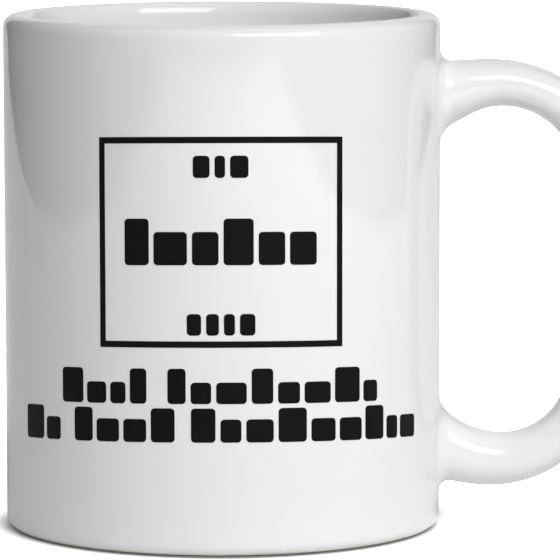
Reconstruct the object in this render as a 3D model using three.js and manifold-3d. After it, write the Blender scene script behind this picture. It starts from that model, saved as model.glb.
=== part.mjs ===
// Ceramic mug: a straight cup with a rounded lip, a recessed foot and one C-shaped handle.
// Millimetres, +Z up. The foot stands on z = 0 and the handle points towards +X.
// Cup and handle are fired as one piece, so they are joined into one solid.

import * as THREE from 'three';
import { mergeVertices } from 'three/addons/utils/BufferGeometryUtils.js';
import Module from 'manifold-3d';

// The cup. Its wall widens a little from foot to lip, and is thickest at the bottom.
const HEIGHT = 95.8;
const LIP_RADIUS = 40.75;
const BASE_RADIUS = 40.6;
const LIP_WALL = 5.0;
const BASE_WALL = 5.5;
const LIP_OUTER_ROUNDING = 2.3;
const LIP_INNER_ROUNDING = 2.1;
const FLOOR_THICKNESS = 7.0;
const INSIDE_CORNER = 9.0;

// The foot: a flat ring around a shallow recess.
const BASE_ROUNDING = 2.1;
const RECESS_RADIUS = 34.2;
const RECESS_DEPTH = 2.0;
const RECESS_CORNER = 1.5;
const FOOT_CHAMFER = 0.5;

// The handle lies between an outer and an inner rail, both in the plane y = 0. Each rail has a
// highest and a lowest point. It turns out of each one in two arcs: one runs in to the wall, and
// goes on straight once it slopes by its steepest angle, in degrees; the other turns down or up to
// a long, slightly bowed grip, which is an arc tangent to both.
const OUTER_RAIL = {
  top: { x: 50.5, z: 87.13, wallArc: 95, steepest: 90, gripArc: 25.8 },
  bottom: { x: 50.6, z: 6.94, wallArc: 34, steepest: 90, gripArc: 22.3 },
  bow: 105,
};
const INNER_RAIL = {
  top: { x: 52.1, z: 78.38, wallArc: 11.2, steepest: 28, gripArc: 14.1 },
  bottom: { x: 52.4, z: 16.83, wallArc: 14.9, steepest: 35, gripArc: 12.2 },
  bow: 97,
};
const GRIP_HALF_WIDTH = 5.9;
const ROOT_HALF_WIDTH = 6.3;
const ROOT_FILLET = 2.4;
const ROOT_DEPTH = 1.8; // how far the handle's ends reach into the wall
const SECTION_FULLNESS = 2.25; // 2 is an ellipse, and more is squarer

// Facets
const CUP_SEGMENTS = 96;
const ARC_STEPS = 3; // LatheGeometry gets twice as many pieces of each profile arc
const SECTION_POINTS = 24;
const FILLET_STEPS = 4;
const RUN_STEPS = 4;
const TURN_STEPS = 9;
const BOW_STEPS = 7;

const GLAZE = new THREE.MeshStandardMaterial({ color: 0xf4f4f2, roughness: 0.08, metalness: 0 });

const manifold = await Module();
manifold.setup();

// A closed three.js geometry as a manifold solid. Its poles leave triangles with no area, which
// are dropped once the shared corners are merged.
function toSolid(geometry) {
  const bare = geometry.clone();
  bare.deleteAttribute('normal');
  bare.deleteAttribute('uv');
  const merged = mergeVertices(bare);
  const index = merged.getIndex().array;
  const triangles = [];
  for (let i = 0; i < index.length; i += 3) {
    const [a, b, c] = [index[i], index[i + 1], index[i + 2]];
    if (a !== b && b !== c && c !== a) {
      triangles.push(a, b, c);
    }
  }
  const mesh = new manifold.Mesh({
    numProp: 3,
    vertProperties: new Float32Array(merged.getAttribute('position').array),
    triVerts: new Uint32Array(triangles),
  });
  return new manifold.Manifold(mesh);
}

function toGeometry(solid) {
  const mesh = solid.getMesh();
  const geometry = new THREE.BufferGeometry();
  geometry.setAttribute('position', new THREE.BufferAttribute(mesh.vertProperties, 3));
  geometry.setIndex(new THREE.BufferAttribute(mesh.triVerts, 1));
  geometry.computeVertexNormals();
  return geometry;
}

// The cup's half section, from the middle of the underside round the lip to the middle of the
// floor inside, turned about the axis.
function cupGeometry() {
  const right = 0;
  const up = Math.PI / 2;
  const left = Math.PI;
  const down = -Math.PI / 2;
  const cavityLipRadius = LIP_RADIUS - LIP_WALL;
  const cavityBaseRadius = BASE_RADIUS - BASE_WALL;
  const cornerZ = FLOOR_THICKNESS + INSIDE_CORNER;
  const recessCornerR = RECESS_RADIUS - RECESS_CORNER;
  const outerLipR = LIP_RADIUS - LIP_OUTER_ROUNDING;
  const innerLipR = cavityLipRadius + LIP_INNER_ROUNDING;

  const section = new THREE.Path();
  section.moveTo(0, RECESS_DEPTH);
  section.lineTo(recessCornerR, RECESS_DEPTH);
  section.absarc(recessCornerR, RECESS_DEPTH - RECESS_CORNER, RECESS_CORNER, up, right, true);
  section.lineTo(RECESS_RADIUS + FOOT_CHAMFER, 0);
  section.absarc(BASE_RADIUS - BASE_ROUNDING, BASE_ROUNDING, BASE_ROUNDING, down, right, false);
  section.absarc(outerLipR, HEIGHT - LIP_OUTER_ROUNDING, LIP_OUTER_ROUNDING, right, up, false);
  section.absarc(innerLipR, HEIGHT - LIP_INNER_ROUNDING, LIP_INNER_ROUNDING, up, left, false);
  section.absarc(cavityBaseRadius - INSIDE_CORNER, cornerZ, INSIDE_CORNER, right, down, true);
  section.lineTo(0, FLOOR_THICKNESS);

  const geometry = new THREE.LatheGeometry(section.getPoints(ARC_STEPS), CUP_SEGMENTS);
  geometry.rotateX(Math.PI / 2);
  return geometry;
}

// The outside of the cup's wall at a height.
function wallRadius(z) {
  return THREE.MathUtils.lerp(BASE_RADIUS, LIP_RADIUS, z / HEIGHT);
}

// Both ends of a rail curve towards the middle of the handle: side is -1 at the top and 1 at the
// bottom, so that z + side * radius is the height of an arc's centre.
function arcCentre(end, radius, side) {
  return new THREE.Vector2(end.x, end.z + side * radius);
}

// A point of a rail between its highest or lowest point and the wall.
function runPoint(end, side, x) {
  const steepest = THREE.MathUtils.degToRad(end.steepest);
  const onArc = Math.min(end.x - x, end.wallArc * Math.sin(steepest));
  const straight = end.x - x - onArc;
  const arcDrop = end.wallArc - Math.sqrt(end.wallArc ** 2 - onArc ** 2);
  return new THREE.Vector2(x, end.z + side * (arcDrop + straight * Math.tan(steepest)));
}

// The rail round the outside of the grip, as points from its highest to its lowest point.
function gripPoints(rail) {
  const topCentre = arcCentre(rail.top, rail.top.gripArc, -1);
  const bottomCentre = arcCentre(rail.bottom, rail.bottom.gripArc, 1);
  const toTop = rail.bow - rail.top.gripArc;
  const toBottom = rail.bow - rail.bottom.gripArc;

  // The bow's centre is where circles of these two radii about the arcs' centres cross.
  const between = new THREE.Vector2().subVectors(bottomCentre, topCentre);
  const apart = between.length();
  const along = (apart ** 2 + toTop ** 2 - toBottom ** 2) / (2 * apart);
  const across = Math.sqrt(toTop ** 2 - along ** 2);
  const way = between.divideScalar(apart);
  const bowCentre = new THREE.Vector2(
    topCentre.x + way.x * along + way.y * across,
    topCentre.y + way.y * along - way.x * across,
  );
  const topAngle = Math.atan2(topCentre.y - bowCentre.y, topCentre.x - bowCentre.x);
  const bottomAngle = Math.atan2(bottomCentre.y - bowCentre.y, bottomCentre.x - bowCentre.x);

  const points = [];
  const addArc = (centre, radius, from, to, steps) => {
    for (let i = 1; i <= steps; i += 1) {
      const angle = THREE.MathUtils.lerp(from, to, i / steps);
      const turn = new THREE.Vector2(Math.cos(angle), Math.sin(angle));
      points.push(turn.multiplyScalar(radius).add(centre));
    }
  };
  addArc(topCentre, rail.top.gripArc, Math.PI / 2, topAngle, TURN_STEPS);
  addArc(bowCentre, rail.bow, topAngle, bottomAngle, BOW_STEPS);
  addArc(bottomCentre, rail.bottom.gripArc, bottomAngle, -Math.PI / 2, TURN_STEPS);
  points.pop();
  return points;
}

// The sections from deep in the wall to the highest or lowest point of the rails. Near the wall
// they swell by a round fillet, and they follow the wall's curve less and less further out.
function runStations(side, name) {
  const [outerEnd, innerEnd] = [OUTER_RAIL[name], INNER_RAIL[name]];
  const wall = wallRadius((outerEnd.z + innerEnd.z) / 2);
  const atWall = (distance, swell, sink) => ({
    outer: runPoint(outerEnd, side, wall + distance),
    inner: runPoint(innerEnd, side, wall + distance),
    halfWidth: ROOT_HALF_WIDTH,
    swell,
    wall,
    hug: 1,
    sink,
  });

  const stations = [atWall(0, ROOT_FILLET, ROOT_DEPTH)];
  for (let i = 0; i < FILLET_STEPS; i += 1) {
    const angle = (i / FILLET_STEPS) * (Math.PI / 2);
    stations.push(atWall(ROOT_FILLET * (1 - Math.cos(angle)), ROOT_FILLET * (1 - Math.sin(angle)), 0));
  }
  const runStart = wall + ROOT_FILLET;
  for (let i = 0; i <= RUN_STEPS; i += 1) {
    const share = i / RUN_STEPS;
    const easing = THREE.MathUtils.smoothstep(share, 0, 1);
    stations.push({
      outer: runPoint(outerEnd, side, THREE.MathUtils.lerp(runStart, outerEnd.x, share)),
      inner: runPoint(innerEnd, side, THREE.MathUtils.lerp(runStart, innerEnd.x, share)),
      halfWidth: THREE.MathUtils.lerp(ROOT_HALF_WIDTH, GRIP_HALF_WIDTH, easing),
      swell: 0,
      wall,
      hug: 1 - easing,
      sink: 0,
    });
  }
  return stations;
}

// One closed section of the handle, as SECTION_POINTS points.
function sectionPoints({ outer, inner, halfWidth, swell, wall, hug, sink }) {
  const middle = new THREE.Vector2().addVectors(outer, inner).multiplyScalar(0.5);
  const across = new THREE.Vector2().subVectors(outer, inner);
  const halfThickness = across.length() / 2;
  across.normalize();
  const power = 2 / SECTION_FULLNESS;
  const points = [];
  for (let i = 0; i < SECTION_POINTS; i += 1) {
    const angle = (i / SECTION_POINTS) * 2 * Math.PI;
    const [c, s] = [Math.cos(angle), Math.sin(angle)];
    const u = Math.sign(c) * Math.abs(c) ** power * halfThickness + c * swell;
    const y = Math.sign(s) * Math.abs(s) ** power * halfWidth + s * swell;
    const z = middle.y + across.y * u;
    const back = wall - Math.sqrt(wallRadius(z) ** 2 - y ** 2);
    const x = middle.x + across.x * u - hug * back - sink;
    points.push(new THREE.Vector3(x, y, z));
  }
  return points;
}

// The handle as a skin over its sections, closed by a fan of triangles at each end.
function handleGeometry() {
  const outer = gripPoints(OUTER_RAIL);
  const inner = gripPoints(INNER_RAIL);
  const grip = outer.map((point, i) => ({
    outer: point,
    inner: inner[i],
    halfWidth: GRIP_HALF_WIDTH,
    swell: 0,
    wall: 0,
    hug: 0,
    sink: 0,
  }));
  const stations = [...runStations(-1, 'top'), ...grip, ...runStations(1, 'bottom').reverse()];
  const sections = stations.map(sectionPoints);
  const middles = [sections[0], sections[sections.length - 1]].map((ring) => {
    const sum = ring.reduce((total, point) => total.add(point), new THREE.Vector3());
    return sum.divideScalar(ring.length);
  });

  const vertices = [...sections.flat(), ...middles];
  const faces = [];
  const firstMiddle = vertices.length - 2;
  const lastMiddle = vertices.length - 1;
  const lastRing = (sections.length - 1) * SECTION_POINTS;
  for (let i = 0; i < SECTION_POINTS; i += 1) {
    const next = (i + 1) % SECTION_POINTS;
    for (let ring = 0; ring < lastRing; ring += SECTION_POINTS) {
      const beyond = ring + SECTION_POINTS;
      faces.push(ring + i, beyond + i, beyond + next);
      faces.push(ring + i, beyond + next, ring + next);
    }
    faces.push(firstMiddle, i, next);
    faces.push(lastMiddle, lastRing + next, lastRing + i);
  }
  const geometry = new THREE.BufferGeometry();
  geometry.setFromPoints(vertices);
  geometry.setIndex(faces);
  return geometry;
}

// The origin is under the middle of the whole mug, handle included.
const mug = new THREE.Mesh(toGeometry(toSolid(cupGeometry()).add(toSolid(handleGeometry()))), GLAZE);
mug.name = 'mug';
mug.geometry.computeBoundingBox();
mug.position.x = -mug.geometry.boundingBox.getCenter(new THREE.Vector3()).x;

const model = new THREE.Group();
model.add(mug);

export default model;
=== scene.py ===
"""The looks of a white glazed ceramic mug with a black print, on a white table in a plain studio.

Everything is in metres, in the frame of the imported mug: +Z up, the handle towards +X and the
print on the -Y side. The cup's own axis is not the frame's Z axis, so CUP_AXIS_X says where it is.
"""

import math

import bmesh
import bpy
from bpy.props import FloatProperty, FloatVectorProperty, IntProperty, PointerProperty
from mathutils import Matrix, Vector


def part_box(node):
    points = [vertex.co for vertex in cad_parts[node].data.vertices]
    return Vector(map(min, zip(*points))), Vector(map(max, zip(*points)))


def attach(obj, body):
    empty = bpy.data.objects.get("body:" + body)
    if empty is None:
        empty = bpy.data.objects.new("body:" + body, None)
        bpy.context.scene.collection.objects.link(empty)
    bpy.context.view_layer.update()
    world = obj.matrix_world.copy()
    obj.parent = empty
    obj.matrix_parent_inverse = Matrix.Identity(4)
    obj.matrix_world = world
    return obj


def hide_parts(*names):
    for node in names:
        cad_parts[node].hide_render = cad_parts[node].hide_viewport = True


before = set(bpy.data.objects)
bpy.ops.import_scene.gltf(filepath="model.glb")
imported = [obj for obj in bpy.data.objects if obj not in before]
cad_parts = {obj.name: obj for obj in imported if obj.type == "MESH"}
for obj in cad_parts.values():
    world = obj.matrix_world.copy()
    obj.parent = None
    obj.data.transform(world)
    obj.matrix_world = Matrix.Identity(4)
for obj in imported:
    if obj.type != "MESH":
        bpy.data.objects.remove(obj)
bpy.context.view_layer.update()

bl_info = {
    "name": "Ceramic mug",
    "version": (1, 0, 0),
    "blender": (4, 5, 0),
    "location": "View3D > Sidebar > Mug",
    "description": "Makes a glazed mug with a handle, its print, and a small studio",
    "category": "Add Mesh",
}

MM = 0.001
NODE = "mug"
BODY = "root"
LOWEST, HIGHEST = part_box(NODE)
CUP_HEIGHT = HIGHEST[2] - LOWEST[2]
CUP_RADIUS = (HIGHEST[1] - LOWEST[1]) / 2
CUP_AXIS_X = LOWEST[0] + CUP_RADIUS

# How finely the mug's skin is divided before it is subdivided once.
AROUND = 144
WALL_ROWS = 40
INSIDE_ROWS = 24
ARC_STEPS = 6
ROOT_COLUMNS = 14
ROOT_ROWS = 11
ROOT_LOOPS = 4
SECTION_POINTS = 2 * (ROOT_COLUMNS + ROOT_ROWS)
TOP_ROOT_ROW = 28
BOTTOM_ROOT_ROW = 0
TURN_STEPS = 16
BOW_STEPS = 12
# The radius of the fans of faces that close the hollow and the floor at the cup's axis.
FAN_RADIUS = 2.5 * MM


def length(name, description, millimetres):
    return FloatProperty(
        name=name, description=description, default=millimetres * MM, min=0.0, unit="LENGTH"
    )


def colour(name, description, default):
    return FloatVectorProperty(
        name=name, description=description, default=default, min=0.0, max=1.0,
        size=3, subtype="COLOR",
    )


class CupSizes(bpy.types.PropertyGroup):
    """The turned cup."""

    height: FloatProperty(
        name="Height", description="Foot to lip", default=CUP_HEIGHT, unit="LENGTH"
    )
    lip_radius: FloatProperty(
        name="Lip radius", description="Outside, at the lip", default=CUP_RADIUS, unit="LENGTH"
    )
    base_radius: length("Base radius", "Outside, at the foot", 40.6)
    lip_wall: length("Lip wall", "Thickness of the wall at the lip", 5.0)
    base_wall: length("Base wall", "Thickness of the wall near the floor", 5.5)
    lip_outer: length("Lip outer rounding", "Radius of the lip's outer edge", 2.3)
    lip_inner: length("Lip inner rounding", "How wide the lip's inner edge is rounded", 1.6)
    lip_inner_drop: length("Lip inner drop", "How far down that rounding goes", 3.0)
    floor: length("Floor", "Height of the floor inside", 7.0)
    inside_corner: length("Inside corner", "Radius between wall and floor inside", 9.0)
    base_rounding: length("Base rounding", "Radius of the outer edge of the foot", 2.1)
    recess_radius: length("Recess radius", "Radius of the hollow under the base", 34.2)
    recess_depth: length("Recess depth", "Depth of the hollow under the base", 2.0)
    recess_corner: length("Recess corner", "Radius inside the hollow's edge", 1.5)
    foot_chamfer: length("Foot chamfer", "Slope at the foot ring's inner edge", 0.5)


class HandleSizes(bpy.types.PropertyGroup):
    """The handle's section and how it grows out of the wall."""

    grip_half_width: length("Grip half width", "Half of the grip's width across", 5.9)
    root_half_width: length("Root half width", "Half of the handle's width at the wall", 6.3)
    root_fillet: length("Root fillet", "Radius of the hollow corner at the wall", 2.4)
    fullness: FloatProperty(
        name="Fullness", description="2 is an oval section, and more is squarer",
        default=2.25, min=1.5, max=6.0,
    )


class PrintSizes(bpy.types.PropertyGroup):
    """The printed outline and rows, as sizes on the unrolled wall."""

    film: length("Film", "How far the ink stands proud of the glaze", 0.04)
    sink: length("Sink", "How far the ink reaches into the glaze", 0.06)
    droop: length("Droop", "How much lower a row lies a quarter turn from its middle", 3.6)
    outline_middle: FloatProperty(
        name="Outline middle", description="Where the outline's middle is along the wall",
        default=-0.3 * MM, unit="LENGTH",
    )
    outline_width: length("Outline width", "Outer width of the outline", 46.2)
    outline_bottom: length("Outline bottom", "Height of the outline's lower edge", 38.1)
    outline_top: length("Outline top", "Height of the outline's upper edge", 76.1)
    stroke: length("Stroke", "Width of the outline's line", 1.15)
    gap: length("Gap", "Gap between two blocks", 0.9)
    corner: length("Corner", "Radius of a block's corners", 0.7)
    seed: IntProperty(name="Seed", description="Changes the widths of the blocks", default=4)


class Finish(bpy.types.PropertyGroup):
    """Colours and surface."""

    glaze: colour("Glaze", "Colour of the white glaze", (0.86, 0.86, 0.86))
    clay: colour("Clay", "Colour of the bare foot ring", (0.74, 0.71, 0.65))
    ink: colour("Ink", "Colour of the print", (0.0045, 0.0042, 0.004))
    ripple: length("Ripple", "Height of the glaze's unevenness", 0.004)


class MugSettings(bpy.types.PropertyGroup):
    """All settings of the mug."""

    cup: PointerProperty(type=CupSizes)
    handle: PointerProperty(type=HandleSizes)
    print: PointerProperty(type=PrintSizes)
    finish: PointerProperty(type=Finish)


# ---------------------------------------------------------------------------------------------
# Shapes of the cup and the handle, as points (distance from the axis, height)


def arc(centre, radius, start, end, steps=ARC_STEPS, rise=None):
    """Points on an arc, without its first one. Angles are in degrees from outwards, up. With a
    rise, which is its radius upwards, it is part of an ellipse."""
    rise = rise or radius
    points = []
    for step in range(1, steps + 1):
        angle = math.radians(start + (end - start) * step / steps)
        points.append((centre[0] + radius * math.cos(angle), centre[1] + rise * math.sin(angle)))
    return points


def line(start, end, steps):
    """Points on a straight line, without its first one."""
    return [
        tuple(a + (b - a) * step / steps for a, b in zip(start, end))
        for step in range(1, steps + 1)
    ]


def wall_radius(cup, z):
    """The outside of the cup's wall at a height."""
    return cup.base_radius + (cup.lip_radius - cup.base_radius) * z / cup.height


def cup_section(cup):
    """The cup's half section from the hollow's middle to the floor's middle, without these two,
    and the number of the point where the outer wall starts. Each stretch ends with its number of
    steps, where it isn't ARC_STEPS."""
    recess_corner = (cup.recess_radius - cup.recess_corner, cup.recess_depth - cup.recess_corner)
    foot_inside = (cup.recess_radius + cup.foot_chamfer, 0.0)
    base_centre = (cup.base_radius - cup.base_rounding, cup.base_rounding)
    lip_centre = (cup.lip_radius - cup.lip_outer, cup.height - cup.lip_outer)
    cavity_lip = cup.lip_radius - cup.lip_wall
    inner_lip_centre = (cavity_lip + cup.lip_inner, cup.height - cup.lip_inner_drop)
    cavity_base = cup.base_radius - cup.base_wall
    corner_centre = (cavity_base - cup.inside_corner, cup.floor + cup.inside_corner)

    points = [(FAN_RADIUS, cup.recess_depth)]
    points += line(points[-1], (recess_corner[0], cup.recess_depth), 5)
    points += arc(recess_corner, cup.recess_corner, 90, 0, 4)
    points += line(points[-1], foot_inside, 2)
    points += line(points[-1], (base_centre[0], 0.0), 3)
    points += arc(base_centre, cup.base_rounding, -90, 0)
    wall_start = len(points) - 1
    points += line(points[-1], (cup.lip_radius, lip_centre[1]), WALL_ROWS)
    points += arc(lip_centre, cup.lip_outer, 0, 90)
    points += line(points[-1], (inner_lip_centre[0], cup.height), 1)
    points += arc(inner_lip_centre, cup.lip_inner, 90, 180, 8, cup.lip_inner_drop)
    points += line(points[-1], (cavity_base, corner_centre[1]), INSIDE_ROWS)
    points += arc(corner_centre, cup.inside_corner, 0, -90)
    points += line(points[-1], (FAN_RADIUS, cup.floor), 6)
    return points, wall_start


class RailEnd:
    """The highest or lowest point of one edge of the handle, and the arcs that leave it."""

    def __init__(self, side, x, z, wall_arc, steepest, grip_arc):
        self.side = side
        self.x = x * MM
        self.z = z * MM
        self.wall_arc = wall_arc * MM
        self.steepest = math.radians(steepest)
        self.grip_arc = grip_arc * MM
        self.grip_centre = Vector((self.x, self.z - side * self.grip_arc))

    def run(self, x):
        """The rail at x, on its way in to the wall: an arc that goes on straight once it slopes
        by its steepest angle."""
        on_arc = min(self.x - x, self.wall_arc * math.sin(self.steepest))
        straight = self.x - x - on_arc
        drop = self.wall_arc - math.sqrt(self.wall_arc**2 - on_arc**2)
        return Vector((x, self.z - self.side * (drop + straight * math.tan(self.steepest))))


class Rail:
    """One edge of the handle, seen from the side. From its highest and its lowest point it runs
    in to the wall, and turns into the bow, an arc along the grip that is tangent to both turns."""

    def __init__(self, top, bottom, bow):
        self.ends = {1: RailEnd(1, **top), -1: RailEnd(-1, **bottom)}
        self.bow = bow * MM

    def grip(self, turn_steps, bow_steps):
        """Points from just after the highest to just before the lowest point."""
        centres = {side: end.grip_centre for side, end in self.ends.items()}
        reach = {side: self.bow - end.grip_arc for side, end in self.ends.items()}
        way = centres[-1] - centres[1]
        apart = way.length
        way.normalize()
        along = (apart**2 + reach[1] ** 2 - reach[-1] ** 2) / (2 * apart)
        across = math.sqrt(reach[1] ** 2 - along**2)
        bow_centre = centres[1] + way * along + Vector((way.y, -way.x)) * across
        tangent = {}
        for side in (1, -1):
            towards = centres[side] - bow_centre
            tangent[side] = math.degrees(math.atan2(towards.y, towards.x))
        points = arc(centres[1], self.ends[1].grip_arc, 90, tangent[1], turn_steps)
        points += arc(bow_centre, self.bow, tangent[1], tangent[-1], bow_steps)
        points += arc(centres[-1], self.ends[-1].grip_arc, tangent[-1], -90, turn_steps)
        return [Vector(point) for point in points[:-1]]


OUTER_RAIL = Rail(
    top=dict(x=50.5, z=87.13, wall_arc=95, steepest=90, grip_arc=25.8),
    bottom=dict(x=50.6, z=6.94, wall_arc=34, steepest=90, grip_arc=22.3),
    bow=105,
)
INNER_RAIL = Rail(
    top=dict(x=52.1, z=78.38, wall_arc=11.2, steepest=28, grip_arc=14.1),
    bottom=dict(x=52.4, z=16.83, wall_arc=14.9, steepest=35, grip_arc=12.2),
    bow=97,
)


def smoothstep(share):
    return share * share * (3 - 2 * share)


def root_stations(cup, handle, side, fillet_steps=6, run_steps=6):
    """The handle's sections from the wall to the rails' highest or lowest points. Near the wall
    they swell by a round fillet, and they follow the wall's curve less and less further out."""
    ends = (OUTER_RAIL.ends[side], INNER_RAIL.ends[side])
    wall = wall_radius(cup, (ends[0].z + ends[1].z) / 2)
    stations = []
    for step in range(fillet_steps):
        angle = step / fillet_steps * math.pi / 2
        distance = handle.root_fillet * (1 - math.cos(angle))
        swell = handle.root_fillet * (1 - math.sin(angle))
        outer, inner = (end.run(wall + distance) for end in ends)
        stations.append((outer, inner, handle.root_half_width, swell, 1.0, wall))
    start = wall + handle.root_fillet
    for step in range(run_steps + 1):
        share = step / run_steps
        outer, inner = (end.run(start + (end.x - start) * share) for end in ends)
        easing = smoothstep(share)
        width = handle.root_half_width
        width += (handle.grip_half_width - handle.root_half_width) * easing
        stations.append((outer, inner, width, 0.0, 1.0 - easing, wall))
    return stations


def section_points(cup, handle, station):
    """One closed section of the handle, starting at the outer rail and turning towards +Y."""
    outer, inner, half_width, swell, hug, wall = station
    middle = (outer + inner) / 2
    across = outer - inner
    half_thickness = across.length / 2
    across.normalize()
    power = 2 / handle.fullness
    points = []
    for number in range(SECTION_POINTS):
        angle = number / SECTION_POINTS * math.tau
        c, s = math.cos(angle), math.sin(angle)
        u = math.copysign(abs(c) ** power, c) * half_thickness + c * swell
        y = math.copysign(abs(s) ** power, s) * half_width + s * swell
        z = middle.y + across.y * u
        back = wall - math.sqrt(wall_radius(cup, z) ** 2 - y * y)
        points.append(Vector((middle.x + across.x * u - hug * back, y, z)))
    return points


def handle_sections(cup, handle):
    """All sections from the top root to the bottom root, each as a list of points."""
    outer = OUTER_RAIL.grip(TURN_STEPS, BOW_STEPS)
    inner = INNER_RAIL.grip(TURN_STEPS, BOW_STEPS)
    width = handle.grip_half_width
    stations = root_stations(cup, handle, 1)
    stations += [(a, b, width, 0.0, 0.0, 0.0) for a, b in zip(outer, inner)]
    stations += reversed(root_stations(cup, handle, -1))
    return [section_points(cup, handle, station) for station in stations]


# ---------------------------------------------------------------------------------------------
# Mesh helpers


def new_object(name, mesh):
    piece = bpy.data.objects.new(name, mesh)
    bpy.context.scene.collection.objects.link(piece)
    return piece


def mesh_from_bmesh(name, bm):
    bmesh.ops.recalc_face_normals(bm, faces=bm.faces)
    if any(not edge.is_manifold for edge in bm.edges):
        raise RuntimeError(f"{name} isn't closed")
    mesh = bpy.data.meshes.new(name)
    bm.to_mesh(mesh)
    bm.free()
    return mesh


def bridge(bm, first, second):
    """Faces between two closed loops with the same number of corners."""
    for i in range(len(first)):
        j = (i + 1) % len(first)
        bm.faces.new((first[i], first[j], second[j], second[i]))


def root_border(rings, first_row, side):
    """The corners round the opening in the wall's grid that a handle's root grows out of. They
    start in the middle of the side that is nearer to the mug's lip (1) or foot (-1)."""
    half = ROOT_COLUMNS // 2
    near, far = first_row + ROOT_ROWS, first_row
    if side < 0:
        near, far = far, near
    step = 1 if far > near else -1
    path = [(near, column) for column in range(0, half)]
    path += [(row, half) for row in range(near, far, step)]
    path += [(far, column) for column in range(half, -half, -1)]
    path += [(row, -half) for row in range(far, near, -step)]
    path += [(near, column) for column in range(-half, 0)]
    return [rings[row][column % AROUND] for row, column in path]


def on_wall(cup, angle, z):
    radius = wall_radius(cup, z)
    return Vector((radius * math.cos(angle), radius * math.sin(angle), z))


def blend_root(bm, cup, border, root):
    """The stretch of wall between the grid's opening and the handle's root."""
    loop = border
    for number in range(1, ROOT_LOOPS + 1):
        share = number / (ROOT_LOOPS + 1)
        corners = []
        for outside, inside in zip(border, root):
            a, b = outside.co, inside.co
            angle = math.atan2(a.y, a.x) * (1 - share) + math.atan2(b.y, b.x) * share
            corners.append(bm.verts.new(on_wall(cup, angle, a.z * (1 - share) + b.z * share)))
        bridge(bm, loop, corners)
        loop = corners
    bridge(bm, loop, root)


def mug_mesh(cup, handle):
    """The whole mug as one closed skin: the turned cup, with the handle grown out of its wall."""
    bm = bmesh.new()
    section, wall_start = cup_section(cup)
    rings = []
    for radius, z in section:
        turn = [column / AROUND * math.tau for column in range(AROUND)]
        rings.append(
            [bm.verts.new((radius * math.cos(a), radius * math.sin(a), z)) for a in turn]
        )

    half = ROOT_COLUMNS // 2
    openings = [wall_start + TOP_ROOT_ROW, wall_start + BOTTOM_ROOT_ROW]
    for row in range(len(rings) - 1):
        in_rows = any(first <= row < first + ROOT_ROWS for first in openings)
        for column in range(AROUND):
            if in_rows and (column < half or column >= AROUND - half):
                continue
            beyond = (column + 1) % AROUND
            bm.faces.new(
                (rings[row][column], rings[row][beyond],
                 rings[row + 1][beyond], rings[row + 1][column])
            )
    for ring, z in ((rings[0], cup.recess_depth), (rings[-1], cup.floor)):
        middle = bm.verts.new((0.0, 0.0, z))
        for column in range(AROUND):
            bm.faces.new((middle, ring[column], ring[(column + 1) % AROUND]))

    sections = [
        [bm.verts.new(point) for point in points] for points in handle_sections(cup, handle)
    ]
    for first, second in zip(sections, sections[1:]):
        bridge(bm, first, second)
    blend_root(bm, cup, root_border(rings, openings[0], 1), sections[0])
    blend_root(bm, cup, root_border(rings, openings[1], -1), sections[-1])

    loose = [vert for vert in bm.verts if not vert.link_faces]
    bmesh.ops.delete(bm, geom=loose, context="VERTS")
    bmesh.ops.translate(bm, verts=bm.verts, vec=(CUP_AXIS_X, 0.0, 0.0))
    for face in bm.faces:
        face.smooth = True
    return mesh_from_bmesh("mug_skin", bm)


# ---------------------------------------------------------------------------------------------
# Materials

# Scales of the textures, per metre.
WAVE_SCALE = 28.0
PEEL_SCALE = 650.0
WIPED_EDGE_SCALE = 300.0
# The two ends of the range in which each surface's roughness drifts.
GLAZE_ROUGHNESS = (0.03, 0.06)
INK_ROUGHNESS = (0.45, 0.6)
CLAY_ROUGHNESS = 0.75
# The height of the fine peel, as a share of the ripple.
GLAZE_PEEL = 0.02
INK_PEEL = 0.1
GLAZE_IOR = 1.5
INK_SPECULAR = 0.1
# The glaze ends unevenly, up to this far above the bottom, and comes in over the band beyond it.
WIPED_HEIGHT = 0.8 * MM
WIPED_BAND = 0.15 * MM


def new_material(name):
    material = bpy.data.materials.new(name)
    material.use_nodes = True
    nodes = material.node_tree.nodes
    return material, nodes, material.node_tree.links, nodes["Principled BSDF"]


def add_node(nodes, kind, inputs=None, **settings):
    node = nodes.new(kind)
    for key, value in settings.items():
        setattr(node, key, value)
    for key, value in (inputs or {}).items():
        node.inputs[key].default_value = value
    return node


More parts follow.
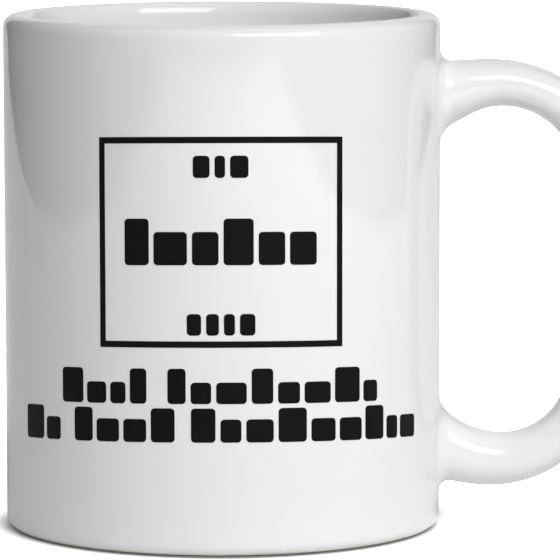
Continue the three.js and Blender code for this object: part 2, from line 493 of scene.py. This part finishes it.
def glaze_surface_group():
    """A fired surface: long soft waves, fine peel, and a roughness that drifts with the waves."""
    group = bpy.data.node_groups.new("Fired surface", "ShaderNodeTree")
    face = group.interface
    face.new_socket("Vector", in_out="INPUT", socket_type="NodeSocketVector")
    for name in ("Wave", "Peel", "Smoothest", "Roughest"):
        face.new_socket(name, in_out="INPUT", socket_type="NodeSocketFloat")
    for name in ("Height", "Roughness"):
        face.new_socket(name, in_out="OUTPUT", socket_type="NodeSocketFloat")
    nodes, links = group.nodes, group.links
    given = add_node(nodes, "NodeGroupInput")
    result = add_node(nodes, "NodeGroupOutput")
    waves = add_node(nodes, "ShaderNodeTexNoise", {"Scale": WAVE_SCALE, "Detail": 1.0})
    peel = add_node(nodes, "ShaderNodeTexNoise", {"Scale": PEEL_SCALE, "Detail": 2.0})
    for texture in (waves, peel):
        links.new(given.outputs["Vector"], texture.inputs["Vector"])
    wave_height = add_node(nodes, "ShaderNodeMath", operation="MULTIPLY")
    links.new(waves.outputs["Fac"], wave_height.inputs[0])
    links.new(given.outputs["Wave"], wave_height.inputs[1])
    peel_height = add_node(nodes, "ShaderNodeMath", operation="MULTIPLY_ADD")
    links.new(peel.outputs["Fac"], peel_height.inputs[0])
    links.new(given.outputs["Peel"], peel_height.inputs[1])
    links.new(wave_height.outputs[0], peel_height.inputs[2])
    links.new(peel_height.outputs[0], result.inputs["Height"])
    drift = add_node(nodes, "ShaderNodeMapRange", {"From Min": 0.3, "From Max": 0.7})
    links.new(waves.outputs["Fac"], drift.inputs["Value"])
    links.new(given.outputs["Smoothest"], drift.inputs["To Min"])
    links.new(given.outputs["Roughest"], drift.inputs["To Max"])
    links.new(drift.outputs["Result"], result.inputs["Roughness"])
    return group


def place_surface(material, surface, wave, peel, roughness):
    """Puts the fired surface group into a material and returns it with its coordinates."""
    nodes, links = material.node_tree.nodes, material.node_tree.links
    place = add_node(nodes, "ShaderNodeTexCoord")
    group = add_node(nodes, "ShaderNodeGroup", node_tree=surface)
    values = {"Wave": wave, "Peel": peel, "Smoothest": roughness[0], "Roughest": roughness[1]}
    for name, value in values.items():
        group.inputs[name].default_value = value
    links.new(place.outputs["Object"], group.inputs["Vector"])
    bump = add_node(nodes, "ShaderNodeBump", {"Strength": 1.0, "Distance": 1.0})
    links.new(group.outputs["Height"], bump.inputs["Height"])
    links.new(bump.outputs["Normal"], nodes["Principled BSDF"].inputs["Normal"])
    return place, group


def glaze_material(finish, surface):
    """White gloss glaze, wiped off the foot ring, where the bare clay shows."""
    material, nodes, links, shader = new_material("White glaze")
    peel = finish.ripple * GLAZE_PEEL
    place, group = place_surface(material, surface, finish.ripple, peel, GLAZE_ROUGHNESS)
    split = add_node(nodes, "ShaderNodeSeparateXYZ")
    links.new(place.outputs["Object"], split.inputs["Vector"])
    edge = add_node(nodes, "ShaderNodeTexNoise", {"Scale": WIPED_EDGE_SCALE, "Detail": 3.0})
    links.new(place.outputs["Object"], edge.inputs["Vector"])
    wiped = add_node(nodes, "ShaderNodeMath", {1: WIPED_HEIGHT}, operation="MULTIPLY_ADD")
    links.new(edge.outputs["Fac"], wiped.inputs[0])
    links.new(split.outputs["Z"], wiped.inputs[2])
    bare = add_node(nodes, "ShaderNodeMapRange", {"To Min": 1.0, "To Max": 0.0})
    bare.inputs["From Min"].default_value = WIPED_HEIGHT
    bare.inputs["From Max"].default_value = WIPED_HEIGHT + WIPED_BAND
    links.new(wiped.outputs[0], bare.inputs["Value"])
    mix = add_node(nodes, "ShaderNodeMix", data_type="RGBA")
    mix.inputs["A"].default_value = (*finish.glaze, 1.0)
    mix.inputs["B"].default_value = (*finish.clay, 1.0)
    links.new(bare.outputs["Result"], mix.inputs["Factor"])
    links.new(mix.outputs["Result"], shader.inputs["Base Color"])
    rough = add_node(nodes, "ShaderNodeMix")
    rough.inputs["B"].default_value = CLAY_ROUGHNESS
    links.new(bare.outputs["Result"], rough.inputs["Factor"])
    links.new(group.outputs["Roughness"], rough.inputs["A"])
    links.new(rough.outputs["Result"], shader.inputs["Roughness"])
    shader.inputs["IOR"].default_value = GLAZE_IOR
    return material


def ink_material(finish, surface):
    """Black print, much duller than the glaze round it."""
    material, nodes, links, shader = new_material("Black print")
    peel = finish.ripple * INK_PEEL
    _, group = place_surface(material, surface, finish.ripple, peel, INK_ROUGHNESS)
    links.new(group.outputs["Roughness"], shader.inputs["Roughness"])
    shader.inputs["Base Color"].default_value = (*finish.ink, 1.0)
    shader.inputs["Specular IOR Level"].default_value = INK_SPECULAR
    return material


def shared(name, make):
    """The material or group of that name, made on first use."""
    found = bpy.data.materials.get(name) or bpy.data.node_groups.get(name)
    return found or make()


def glaze_of(finish):
    surface = shared("Fired surface", glaze_surface_group)
    return shared("White glaze", lambda: glaze_material(finish, surface))


def ink_of(finish):
    surface = shared("Fired surface", glaze_surface_group)
    return shared("Black print", lambda: ink_material(finish, surface))


# ---------------------------------------------------------------------------------------------
# The print

OUTLINE_STEPS = 94


def outline_mesh(cup, sizes):
    """A square outline as one closed film that follows the wall."""
    start = sizes.outline_middle - sizes.outline_width / 2
    between = sizes.outline_width - 2 * sizes.stroke
    edges = [
        sizes.stroke + between * step / OUTLINE_STEPS for step in range(OUTLINE_STEPS + 1)
    ]
    edges = [start + along for along in (0.0, *edges, sizes.outline_width)]
    low, high = sizes.outline_bottom, sizes.outline_top
    heights = [low, low + sizes.stroke, high - sizes.stroke, high]
    bm = bmesh.new()

    def layer(offset):
        return [
            [bm.verts.new(print_point(cup, sizes, along, z, offset)) for along in edges]
            for z in heights
        ]

    top, bottom = layer(sizes.film), layer(-sizes.sink)
    last = len(edges) - 2
    cells = {
        (i, j) for i in range(last + 1) for j in range(3) if j != 1 or i in (0, last)
    }
    for i, j in cells:
        around = ((i, j), (i + 1, j), (i + 1, j + 1), (i, j + 1))
        bm.faces.new([top[b][a] for a, b in around])
        bm.faces.new([bottom[b][a] for a, b in reversed(around)])
        beyond = ((i, j - 1), (i + 1, j), (i, j + 1), (i - 1, j))
        for number, cell in enumerate(beyond):
            if cell not in cells:
                (a, b), (c, d) = around[number], around[(number + 1) % 4]
                bm.faces.new((bottom[b][a], bottom[d][c], top[d][c], top[b][a]))
    loose = [vert for vert in bm.verts if not vert.link_faces]
    bmesh.ops.delete(bm, geom=loose, context="VERTS")
    return mesh_from_bmesh("print_outline", bm)


def print_point(cup, sizes, along, z, offset):
    """A point on the cup's -Y side, at a distance along the wall from its middle."""
    angle = along / cup.lip_radius
    z -= sizes.droop * (1 - math.cos(angle))
    radius = wall_radius(cup, z) + offset
    return Vector((CUP_AXIS_X + radius * math.sin(angle), -radius * math.cos(angle), z))


# Each row of blocks: where it starts along the wall, its length, its number of blocks, the height
# of its lower edge, and the heights of its low and its tall blocks, in millimetres.
PRINT_ROWS = (
    (-5.3, 10.0, 3, 68.7, 4.0, 4.0),
    (-18.2, 35.7, 6, 53.0, 6.0, 8.4),
    (-6.5, 12.4, 4, 40.3, 3.9, 3.9),
    (-32.5, 18.4, 4, 27.9, 3.9, 6.4),
    (-10.1, 41.1, 8, 27.9, 3.9, 6.4),
    (-44.1, 10.9, 2, 20.9, 4.2, 6.2),
    (-29.5, 20.7, 4, 20.9, 4.2, 6.2),
    (-5.8, 48.3, 9, 20.9, 4.2, 6.2),
)
# How uneven the blocks' widths are, how often one is tall, and how finely each is divided.
WIDTH_SHARES = (0.72, 1.28)
TALL_EVERY = 3.0
BLOCK_GRID = {"Vertices X": 15, "Vertices Y": 2, "Vertices Z": 4}


def print_row_tree():
    """Geometry nodes for one row: blocks of uneven width on points along a line, which are made
    real and then wrapped round the wall."""
    tree = bpy.data.node_groups.new("Print row", "GeometryNodeTree")
    face = tree.interface
    face.new_socket("Geometry", in_out="INPUT", socket_type="NodeSocketGeometry")
    for name, kind in (
        ("Start", "Float"), ("Length", "Float"), ("Blocks", "Int"), ("Gap", "Float"),
        ("Base Height", "Float"), ("Low Block", "Float"), ("Tall Block", "Float"),
        ("Corner", "Float"), ("Film", "Float"), ("Sink", "Float"), ("Base Radius", "Float"),
        ("Lip Radius", "Float"), ("Cup Height", "Float"), ("Axis X", "Float"), ("Droop", "Float"),
        ("Seed", "Int"), ("Material", "Material"),
    ):
        face.new_socket(name, in_out="INPUT", socket_type=f"NodeSocket{kind}")
    face.new_socket("Geometry", in_out="OUTPUT", socket_type="NodeSocketGeometry")
    nodes, links = tree.nodes, tree.links
    given = add_node(nodes, "NodeGroupInput").outputs
    result = add_node(nodes, "NodeGroupOutput")

    def wire(value, socket):
        if isinstance(value, (int, float)):
            socket.default_value = value
        else:
            links.new(value, socket)

    def math_node(operation, *values):
        node = add_node(nodes, "ShaderNodeMath", operation=operation)
        for number, value in enumerate(values):
            wire(value, node.inputs[number])
        return node.outputs[0]

    def vector(x, y, z):
        node = add_node(nodes, "ShaderNodeCombineXYZ")
        for number, value in enumerate((x, y, z)):
            wire(value, node.inputs[number])
        return node.outputs[0]

    def split(value):
        node = add_node(nodes, "ShaderNodeSeparateXYZ")
        links.new(value, node.inputs[0])
        return node.outputs

    def position():
        return add_node(nodes, "GeometryNodeInputPosition").outputs[0]

    def moved(geometry, place):
        node = add_node(nodes, "GeometryNodeSetPosition")
        links.new(geometry, node.inputs["Geometry"])
        links.new(place, node.inputs["Position"])
        return node.outputs[0]

    def captured(geometry, name, value):
        node = add_node(nodes, "GeometryNodeCaptureAttribute", domain="POINT")
        node.capture_items.new("VECTOR", name)
        links.new(geometry, node.inputs["Geometry"])
        links.new(value, node.inputs[name])
        return node.outputs["Geometry"], node.outputs[name]

    # Widths: an uneven share of the row for each block.
    share = add_node(nodes, "FunctionNodeRandomValue", data_type="FLOAT")
    share.inputs[2].default_value, share.inputs[3].default_value = WIDTH_SHARES
    links.new(given["Seed"], share.inputs["Seed"])
    sums = add_node(nodes, "GeometryNodeAccumulateField", data_type="FLOAT", domain="POINT")
    links.new(share.outputs[1], sums.inputs[0])
    with_gap = math_node("ADD", given["Length"], given["Gap"])
    scale = math_node("DIVIDE", with_gap, sums.outputs["Total"])
    left = math_node("MULTIPLY_ADD", sums.outputs["Trailing"], scale, given["Start"])
    pitch = math_node("MULTIPLY", share.outputs[1], scale)
    width = math_node("SUBTRACT", pitch, given["Gap"])
    middle = math_node("MULTIPLY_ADD", width, 0.5, left)

    # Heights: the first block is tall, and so is every third one after it.
    index = add_node(nodes, "GeometryNodeInputIndex").outputs[0]
    is_tall = math_node("LESS_THAN", math_node("MODULO", index, TALL_EVERY), 0.5)
    rise = math_node("SUBTRACT", given["Tall Block"], given["Low Block"])
    height = math_node("MULTIPLY_ADD", rise, is_tall, given["Low Block"])
    centre_z = math_node("MULTIPLY_ADD", height, 0.5, given["Base Height"])
    depth = math_node("ADD", given["Film"], given["Sink"])
    centre_out = math_node("MULTIPLY", math_node("SUBTRACT", given["Film"], given["Sink"]), 0.5)

    points = add_node(nodes, "GeometryNodePoints")
    links.new(given["Blocks"], points.inputs["Count"])
    placed = moved(points.outputs[0], vector(middle, centre_out, centre_z))
    placed, size = captured(placed, "Size", vector(width, depth, height))

    # One block, of unit size, with its columns closer together towards its ends.
    block = add_node(nodes, "GeometryNodeMeshCube", BLOCK_GRID)
    even = split(position())
    sine = math_node("SINE", math_node("MULTIPLY", even[0], math.pi))
    crowded = vector(math_node("MULTIPLY", sine, 0.5), even[1], even[2])
    unit, place = captured(moved(block.outputs["Mesh"], crowded), "Place", position())
    spread = add_node(nodes, "GeometryNodeInstanceOnPoints")
    for value, name in ((placed, "Points"), (unit, "Instance"), (size, "Scale")):
        links.new(value, spread.inputs[name])
    real = add_node(nodes, "GeometryNodeRealizeInstances")
    links.new(spread.outputs[0], real.inputs[0])

    # Round corners: near a block's ends its upper and lower edges close in on its middle.
    block_width = split(size)[0]
    local = split(place)
    from_middle = math_node("MULTIPLY", math_node("ABSOLUTE", local[0]), block_width)
    no_corner = math_node("MULTIPLY", given["Corner"], -1.0)
    corner_start = math_node("MULTIPLY_ADD", block_width, 0.5, no_corner)
    into = math_node("MAXIMUM", math_node("SUBTRACT", from_middle, corner_start), 0.0)
    corner_squared = math_node("POWER", given["Corner"], 2.0)
    squares = math_node("SUBTRACT", corner_squared, math_node("POWER", into, 2.0))
    edge = math_node("SQRT", math_node("MAXIMUM", squares, 0.0))
    closing = math_node("MULTIPLY", math_node("SUBTRACT", given["Corner"], edge), -2.0)
    shift_z = math_node("MULTIPLY", closing, local[2])

    # Wrapping: X is the way along the wall and Y the way out of it.
    flat = split(position())
    angle = math_node("DIVIDE", flat[0], given["Lip Radius"])
    cosine = math_node("COSINE", angle)
    lower = math_node("SUBTRACT", cosine, 1.0)
    level = math_node("MULTIPLY_ADD", lower, given["Droop"], flat[2])
    z = math_node("ADD", level, shift_z)
    widening = math_node("SUBTRACT", given["Lip Radius"], given["Base Radius"])
    slope = math_node("DIVIDE", widening, given["Cup Height"])
    wall = math_node("MULTIPLY_ADD", slope, z, given["Base Radius"])
    radius = math_node("ADD", wall, flat[1])
    round_x = math_node("MULTIPLY_ADD", radius, math_node("SINE", angle), given["Axis X"])
    round_y = math_node("MULTIPLY", math_node("MULTIPLY", radius, cosine), -1.0)
    wrapped = moved(real.outputs[0], vector(round_x, round_y, z))
    paint = add_node(nodes, "GeometryNodeSetMaterial")
    links.new(wrapped, paint.inputs["Geometry"])
    links.new(given["Material"], paint.inputs["Material"])
    links.new(paint.outputs[0], result.inputs[0])
    return tree


def evaluated_mesh(piece, name):
    """What a piece's modifiers make of it, as a plain mesh."""
    graph = bpy.context.evaluated_depsgraph_get()
    mesh = bpy.data.meshes.new_from_object(piece.evaluated_get(graph), depsgraph=graph)
    mesh.name = name
    return mesh


def row_mesh(tree, values):
    """One row of blocks, evaluated on a helper object that is removed again."""
    helper = new_object("row_helper", bpy.data.meshes.new("row_helper"))
    modifier = helper.modifiers.new("Row", "NODES")
    modifier.node_group = tree
    sockets = {
        item.name: item.identifier
        for item in tree.interface.items_tree
        if item.item_type == "SOCKET" and item.in_out == "INPUT"
    }
    for name, value in values.items():
        modifier[sockets[name]] = value
    mesh = evaluated_mesh(helper, "row")
    bpy.data.objects.remove(helper)
    return mesh


def rows_mesh(cup, sizes, ink):
    """All rows of blocks as one mesh."""
    tree = print_row_tree()
    bm = bmesh.new()
    for number, row in enumerate(PRINT_ROWS):
        start, row_length, blocks, base, low, tall = row
        mesh = row_mesh(tree, {
            "Start": start * MM, "Length": row_length * MM, "Blocks": blocks, "Gap": sizes.gap,
            "Base Height": base * MM, "Low Block": low * MM, "Tall Block": tall * MM,
            "Film": sizes.film, "Sink": sizes.sink, "Base Radius": cup.base_radius,
            "Lip Radius": cup.lip_radius, "Cup Height": cup.height, "Axis X": CUP_AXIS_X,
            "Corner": sizes.corner, "Droop": sizes.droop,
            "Seed": sizes.seed + number, "Material": ink,
        })
        bm.from_mesh(mesh)
        bpy.data.meshes.remove(mesh)
    if not bm.faces:
        raise RuntimeError("the print has no rows")
    return mesh_from_bmesh("print_rows", bm)


# ---------------------------------------------------------------------------------------------
# Operators


class MUG_OT_make_mug(bpy.types.Operator):
    """Make the glazed mug, with its handle grown out of the wall"""

    bl_idname = "ceramic_mug.make_mug"
    bl_label = "Make mug"

    def execute(self, context):
        settings = context.scene.ceramic_mug
        mug = new_object("mug_glazed", mug_mesh(settings.cup, settings.handle))
        mug.data.materials.append(glaze_of(settings.finish))
        smooth = mug.modifiers.new("Smooth skin", "SUBSURF")
        smooth.levels = 1
        smooth.render_levels = 1
        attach(mug, BODY)
        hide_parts(NODE)
        return {"FINISHED"}


class MUG_OT_make_outline(bpy.types.Operator):
    """Make the printed square outline"""

    bl_idname = "ceramic_mug.make_outline"
    bl_label = "Make print outline"

    def execute(self, context):
        settings = context.scene.ceramic_mug
        outline = new_object("print_outline", outline_mesh(settings.cup, settings.print))
        outline.data.materials.append(ink_of(settings.finish))
        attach(outline, BODY)
        return {"FINISHED"}


class MUG_OT_make_rows(bpy.types.Operator):
    """Make the printed rows of blocks"""

    bl_idname = "ceramic_mug.make_rows"
    bl_label = "Make print rows"

    def execute(self, context):
        settings = context.scene.ceramic_mug
        ink = ink_of(settings.finish)
        rows = new_object("print_rows", rows_mesh(settings.cup, settings.print, ink))
        rows.data.materials.append(ink)
        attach(rows, BODY)
        return {"FINISHED"}


# The white sweep that the mug stands on: 1.2 m wide, flat under the mug, and curving up behind it.
SWEEP_HALF_WIDTH = 0.6
SWEEP_FRONT = -1.2
SWEEP_BEND = 1.0
SWEEP_CURVE = 0.5
SWEEP_CURVE_STEPS = 24
SWEEP_TOP = 2.0
SWEEP_WHITE = 0.8
# How much whiter it looks in the glaze, a painted reflection, and to the camera, which sees it
# plain white save close against the mug, where it is darkened into a painted contact shadow, and
# how it glows, a painted light: the value at the mug, further off, and how far off.
SWEEP_PAINTED_REFLECTION = (1.2, 1.5, 0.6)
SWEEP_SEEN_WHITE_AND_PAINTED_SHADOW = (0.15, 3.6, 0.006)
SWEEP_GLOW = (0.05, 0.0, 0.08)
# How much sooner the painted reflection, the painted contact shadow and the glow all fade at the
# mug's sides than in front of it and behind it.
SWEEP_NARROWING = 1.045
# The room's brightness, and the brightness that the camera sees in its place.
ROOM_LIGHT = 0.01
ROOM_SEEN = 1.2
# The camera, from the cup's axis: metres, radians and, for the lens and the sensor, millimetres.
CAMERA_DISTANCE = 0.93964
CAMERA_HEIGHT = 0.15156
CAMERA_TURN = 0.01144
CAMERA_TILT = 0.11214
CAMERA_ROLL = -0.00163
CAMERA_LENS = 324.65
CAMERA_SENSOR = 36.0
CAMERA_CLIP = 0.01


def sweep_material():
    """Matt white, with a painted reflection that makes it brighter in the glaze, plain white to
    the camera save close against the mug, where a painted contact shadow darkens it, and glowing a
    little round it, a painted light."""
    material, nodes, links, shader = new_material("White sweep")
    nodes.remove(shader)
    place = add_node(nodes, "ShaderNodeTexCoord")
    centred = add_node(nodes, "ShaderNodeVectorMath", operation="MULTIPLY_ADD")
    links.new(place.outputs["Object"], centred.inputs[0])
    centred.inputs[1].default_value = (SWEEP_NARROWING, 1.0, 1.0)
    centred.inputs[2].default_value = (-SWEEP_NARROWING * CUP_AXIS_X, 0.0, 0.0)
    away = add_node(nodes, "ShaderNodeVectorMath", operation="LENGTH")
    links.new(centred.outputs["Vector"], away.inputs[0])

    def fading(near, far, width):
        fade = add_node(nodes, "ShaderNodeMapRange", {"To Min": near, "To Max": far})
        fade.inputs["From Min"].default_value = CUP_RADIUS
        fade.inputs["From Max"].default_value = CUP_RADIUS + width
        links.new(away.outputs["Value"], fade.inputs["Value"])
        return fade.outputs["Result"]

    path = add_node(nodes, "ShaderNodeLightPath")
    # Painted reflection: glossy rays see the sweep whiter than it is, a little less so close to
    # the mug.
    mirrored = add_node(nodes, "ShaderNodeMix")
    links.new(path.outputs["Is Glossy Ray"], mirrored.inputs["Factor"])
    mirrored.inputs["A"].default_value = SWEEP_WHITE
    links.new(fading(*SWEEP_PAINTED_REFLECTION), mirrored.inputs["B"])
    # Painted contact shadow: the camera sees the sweep plain white, but darkened close against the
    # mug.
    seen_with_painted_shadow = add_node(nodes, "ShaderNodeMix")
    links.new(path.outputs["Is Camera Ray"], seen_with_painted_shadow.inputs["Factor"])
    links.new(mirrored.outputs["Result"], seen_with_painted_shadow.inputs["A"])
    links.new(fading(*SWEEP_SEEN_WHITE_AND_PAINTED_SHADOW), seen_with_painted_shadow.inputs["B"])
    surface = add_node(nodes, "ShaderNodeBsdfDiffuse")
    links.new(seen_with_painted_shadow.outputs["Result"], surface.inputs["Color"])
    # Painted light: the sweep glows a little round the mug, though it is no lamp.
    glow = add_node(nodes, "ShaderNodeEmission")
    links.new(fading(*SWEEP_GLOW), glow.inputs["Strength"])
    lit = add_node(nodes, "ShaderNodeAddShader")
    links.new(surface.outputs[0], lit.inputs[0])
    links.new(glow.outputs[0], lit.inputs[1])
    links.new(lit.outputs[0], nodes["Material Output"].inputs["Surface"])
    return material


def make_sweep():
    curve = (SWEEP_BEND, SWEEP_CURVE)
    profile = [(SWEEP_FRONT, 0.0), (SWEEP_BEND, 0.0)]
    profile += arc(curve, SWEEP_CURVE, -90, 0, SWEEP_CURVE_STEPS)
    profile.append((SWEEP_BEND + SWEEP_CURVE, SWEEP_TOP))
    bm = bmesh.new()
    edges = [
        [bm.verts.new((CUP_AXIS_X + side * SWEEP_HALF_WIDTH, y, z)) for y, z in profile]
        for side in (-1, 1)
    ]
    for i in range(len(profile) - 1):
        face = bm.faces.new((edges[0][i], edges[1][i], edges[1][i + 1], edges[0][i + 1]))
        face.smooth = True
    mesh = bpy.data.meshes.new("sweep")
    bm.to_mesh(mesh)
    bm.free()
    sweep = new_object("sweep", mesh)
    mesh.materials.append(sweep_material())


def make_world():
    """A dark room, which the camera sees as white."""
    world = bpy.data.worlds.new("Room")
    world.use_nodes = True
    bpy.context.scene.world = world
    nodes, links = world.node_tree.nodes, world.node_tree.links
    room = nodes["Background"]
    room.inputs["Color"].default_value = (ROOM_LIGHT, ROOM_LIGHT, ROOM_LIGHT, 1.0)
    white = add_node(nodes, "ShaderNodeBackground", {"Color": (1.0, 1.0, 1.0, 1.0)})
    white.inputs["Strength"].default_value = ROOM_SEEN
    path = add_node(nodes, "ShaderNodeLightPath")
    mix = add_node(nodes, "ShaderNodeMixShader")
    links.new(path.outputs["Is Camera Ray"], mix.inputs[0])
    links.new(room.outputs[0], mix.inputs[1])
    links.new(white.outputs[0], mix.inputs[2])
    links.new(mix.outputs[0], nodes["World Output"].inputs["Surface"])


# Softboxes: azimuth from the camera's side towards +X and elevation in degrees, distance, width
# and height in metres, power in watts, and whether the glaze mirrors it.
SOFTBOXES = {
    "key": (31, 33, 1.3, 1.0, 0.55, 9.0, True),
    "fill right": (45, 40, 2.0, 1.6, 1.0, 12.4, False),
    "fill front": (0, 30, 2.2, 1.6, 1.0, 5.6, False),
    "fill left": (-70, 40, 1.6, 1.6, 1.2, 3.2, False),
    "fill back": (180, 50, 2.2, 2.4, 1.2, 12.0, False),
}


def make_softbox(name, azimuth, elevation, distance, width, height, power, mirrored):
    light = bpy.data.lights.new(name, "AREA")
    light.shape = "RECTANGLE"
    light.size = width
    light.size_y = height
    light.energy = power
    lamp = bpy.data.objects.new(name, light)
    lamp.visible_glossy = mirrored
    bpy.context.scene.collection.objects.link(lamp)
    a, e = math.radians(azimuth), math.radians(elevation)
    out = Vector((math.sin(a) * math.cos(e), -math.cos(a) * math.cos(e), math.sin(e)))
    aim = Vector((CUP_AXIS_X, 0.0, CUP_HEIGHT / 2))
    turn = out.to_track_quat("Z", "Y")
    lamp.matrix_world = Matrix.Translation(aim + out * distance) @ turn.to_matrix().to_4x4()


def make_camera():
    data = bpy.data.cameras.new("camera")
    data.lens = CAMERA_LENS
    data.sensor_width = CAMERA_SENSOR
    data.clip_start = CAMERA_CLIP
    camera = bpy.data.objects.new("camera", data)
    bpy.context.scene.collection.objects.link(camera)
    turn = Matrix.Rotation(-CAMERA_TURN, 4, "Z")
    tilt = Matrix.Rotation(math.pi / 2 - CAMERA_TILT, 4, "X")
    roll = Matrix.Rotation(CAMERA_ROLL, 4, "Z")
    place = Matrix.Translation((CUP_AXIS_X, -CAMERA_DISTANCE, CAMERA_HEIGHT))
    camera.matrix_world = place @ turn @ tilt @ roll
    bpy.context.scene.camera = camera


class MUG_OT_make_stage(bpy.types.Operator):
    """Make the sweep, the lights, the room and the camera"""

    bl_idname = "ceramic_mug.make_stage"
    bl_label = "Make stage"

    def execute(self, context):
        make_sweep()
        make_world()
        for name, values in SOFTBOXES.items():
            make_softbox(name, *values)
        make_camera()
        context.scene.view_settings.view_transform = "Standard"
        return {"FINISHED"}


class MUG_PT_panel(bpy.types.Panel):
    """Lists the mug's parts and their settings"""

    bl_label = "Mug"
    bl_space_type = "VIEW_3D"
    bl_region_type = "UI"
    bl_category = "Mug"

    def draw(self, context):
        settings = context.scene.ceramic_mug
        for operator in OPERATORS:
            self.layout.operator(operator.bl_idname)
        for group in (settings.cup, settings.handle, settings.print, settings.finish):
            box = self.layout.box()
            for name in group.__annotations__:
                box.prop(group, name)


OPERATORS = (MUG_OT_make_mug, MUG_OT_make_outline, MUG_OT_make_rows, MUG_OT_make_stage)
CLASSES = (CupSizes, HandleSizes, PrintSizes, Finish, MugSettings, *OPERATORS, MUG_PT_panel)


def register():
    for cls in CLASSES:
        bpy.utils.register_class(cls)
    bpy.types.Scene.ceramic_mug = PointerProperty(type=MugSettings)


def unregister():
    del bpy.types.Scene.ceramic_mug
    for cls in reversed(CLASSES):
        bpy.utils.unregister_class(cls)


def main():
    register()
    bpy.ops.ceramic_mug.make_mug()
    bpy.ops.ceramic_mug.make_outline()
    bpy.ops.ceramic_mug.make_rows()
    bpy.ops.ceramic_mug.make_stage()


if __name__ == "__main__":
    main()
